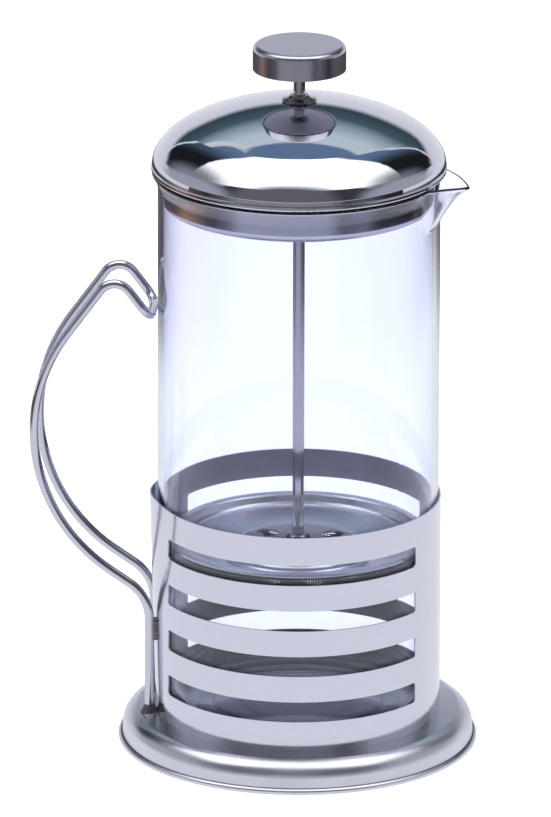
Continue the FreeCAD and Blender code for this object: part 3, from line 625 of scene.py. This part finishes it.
paper = bpy.data.materials.new("white_paper")
paper.use_nodes = True
tree = paper.node_tree
tree.nodes.clear()
place = add(tree, "ShaderNodeTexCoord").outputs["Object"]
away = add(tree, "ShaderNodeVectorMath", {0: place}, operation="LENGTH").outputs["Value"]
parts = add(tree, "ShaderNodeSeparateXYZ", {0: place}).outputs
behind = math_node(tree, "GREATER_THAN", parts[1], 0.0)
past_paper = smooth_step(tree, away, PAPER_NEAR, PAPER_FAR)
at_wall = math_node(tree, "MULTIPLY", smooth_step(tree, away, 0.8 * WALL_START, 1.2 * WALL_START), behind)
in_room = math_node(tree, "MULTIPLY", past_paper, math_node(tree, "SUBTRACT", 1.0, at_wall))
mirrored = math_node(tree, "GREATER_THAN", add(tree, "ShaderNodeLightPath").outputs["Glossy Depth"], 0.5)
far_off = math_node(tree, "MULTIPLY", smooth_step(tree, away, 0.62, 0.72), 0.55)
room_floor = mixed(tree, far_off, room_tones(tree, parts[0], parts[1]), "#2A2628")
tone = mixed(tree, in_room, "#F2F3FA", room_floor)
mirror_glow = add(tree, "ShaderNodeEmission", {"Color": tone, "Strength": 1.0})
glow = add(tree, "ShaderNodeEmission", {"Color": linear("#FBFBFE"), "Strength": 0.55})
matt = add(tree, "ShaderNodeBsdfDiffuse", {"Color": linear("#F4F4F8")})
both = add(tree, "ShaderNodeAddShader", {0: glow.outputs[0], 1: matt.outputs[0]})
surface = add(tree, "ShaderNodeMixShader", {0: mirrored, 1: both.outputs[0], 2: mirror_glow.outputs[0]})
add(tree, "ShaderNodeOutputMaterial", {0: surface.outputs[0]})
floor_mesh.materials.append(paper)

world = bpy.data.worlds.new("studio")
bpy.context.scene.world = world
world.use_nodes = True
tree = world.node_tree
tree.nodes.clear()
direction = add(tree, "ShaderNodeTexCoord").outputs["Generated"]
parts = add(tree, "ShaderNodeSeparateXYZ", {0: direction}).outputs
over = math_node(tree, "ARCTAN2", parts[2], parts[1])
over = math_node(tree, "MULTIPLY", over, 180 / math.pi)   # from the back horizon over the top to the front
sideways = math_node(tree, "ABSOLUTE", parts[0])
ceiling = colour_ramp(tree, over, 0, 180, (
    (0, "#F0F0FA"), (18, "#E6E7F2"), (23, "#3A4C55"), (34, "#4E666F"), (41, "#9DB3BB"), (50, "#D2E2E8"),
    (57, "#D8E6EC"), (59.5, "#6E86A8"), (180, "#6E86A8"),
))
# A tie of light runs from the ceiling's middle out and down to each side, with the dark behind it.
TIE_BEND = 0.285                  # how far to the side it starts to lean
TIE_LEAN = 132.0                  # degrees it comes down per unit to the side
TIE_TOP = 58.0                    # degrees over from the back horizon
lean = math_node(tree, "MAXIMUM", math_node(tree, "SUBTRACT", sideways, TIE_BEND), 0.0)
leaned = math_node(tree, "ADD", over, math_node(tree, "MULTIPLY", lean, TIE_LEAN))
past_tie = math_node(tree, "SUBTRACT", leaned, TIE_TOP)
dark = mixed(tree, smooth_step(tree, sideways, 0.3, 0.6), "#6E86A8", "#202227")
high = smooth_step(tree, parts[2], 0.2, 0.32)
behind_share = math_node(tree, "MULTIPLY", smooth_step(tree, past_tie, -0.5, 1.0), high)
behind_tie = mixed(tree, behind_share, ceiling, dark)
tie_near = smooth_step(tree, past_tie, -3.5, -1.5)
tie_far = math_node(tree, "SUBTRACT", 1.0, smooth_step(tree, past_tie, 1.0, 2.5))
tie_out = smooth_step(tree, sideways, 0.24, 0.32)
tie = math_node(tree, "MULTIPLY", math_node(tree, "MULTIPLY", tie_near, tie_far), tie_out)
back_half = mixed(tree, math_node(tree, "MULTIPLY", tie, high), behind_tie, "#E8EAF2")
front_tones = mixed(tree, 0.76, room_tones(tree, parts[0], parts[1]), "#1C1A1E")
room = mixed(tree, smooth_step(tree, over, 118.0, 124.0), back_half, front_tones)
walls = mixed(tree, smooth_step(tree, sideways, 0.7, 0.92), room, "#B4B5C2")
box_near = smooth_step(tree, over, 67.0, 70.0)
box_far = math_node(tree, "SUBTRACT", 1.0, smooth_step(tree, over, 117.0, 124.0))
box_side = math_node(tree, "SUBTRACT", 1.0, smooth_step(tree, sideways, 0.56, 0.84))
box = math_node(tree, "MULTIPLY", math_node(tree, "MULTIPLY", box_near, box_far), box_side)
dim = add(tree, "ShaderNodeBackground", {"Color": walls, "Strength": 1.0})
lamp = add(tree, "ShaderNodeBackground", {"Color": linear("#FFFFFF"), "Strength": 2.0})
lit = add(tree, "ShaderNodeMixShader", {0: box, 1: dim.outputs[0], 2: lamp.outputs[0]})
plain = add(tree, "ShaderNodeBackground", {"Color": linear("#F8F8FC"), "Strength": 1.0})
bounces = add(tree, "ShaderNodeLightPath").outputs
turned_back = math_node(tree, "ADD", bounces["Glossy Depth"], bounces["Diffuse Depth"])
seen = math_node(tree, "LESS_THAN", turned_back, 0.5)
sky = add(tree, "ShaderNodeMixShader", {0: seen, 1: lit.outputs[0], 2: plain.outputs[0]})
add(tree, "ShaderNodeOutputWorld", {0: sky.outputs[0]})


# ------------------------------------------------------------------ camera
# A long lens from a little above the table, almost square on to the handle's plane. It stands about four
# metres off, so upright edges stay nearly parallel.
CAMERA_AZIMUTH = math.radians(3.8)
CAMERA_ELEVATION = math.radians(18.27)
CAMERA_ROLL = math.radians(0.13)
CAMERA_DISTANCE = 4.036
AIM_HEIGHT = 118.3 * MM
AIM_SIDE = -7.86 * MM
across = math.cos(CAMERA_ELEVATION)
back = Vector((
    math.sin(CAMERA_AZIMUTH) * across, -math.cos(CAMERA_AZIMUTH) * across, math.sin(CAMERA_ELEVATION)
))
level_right = Vector((math.cos(CAMERA_AZIMUTH), math.sin(CAMERA_AZIMUTH), 0))
level_up = back.cross(level_right)
right = level_right * math.cos(CAMERA_ROLL) + level_up * math.sin(CAMERA_ROLL)
up = back.cross(right)
lens = bpy.data.cameras.new("camera")
lens.lens = 520
lens.sensor_width = 36
lens.clip_end = 100
camera = bpy.data.objects.new("camera", lens)
bpy.context.scene.collection.objects.link(camera)
turn = Matrix((right, up, back)).transposed().to_4x4()
spot = Vector((0, 0, AIM_HEIGHT)) + right * AIM_SIDE + back * CAMERA_DISTANCE
camera.matrix_world = Matrix.Translation(spot) @ turn
bpy.context.scene.camera = camera
bpy.context.scene.view_settings.view_transform = "Standard"
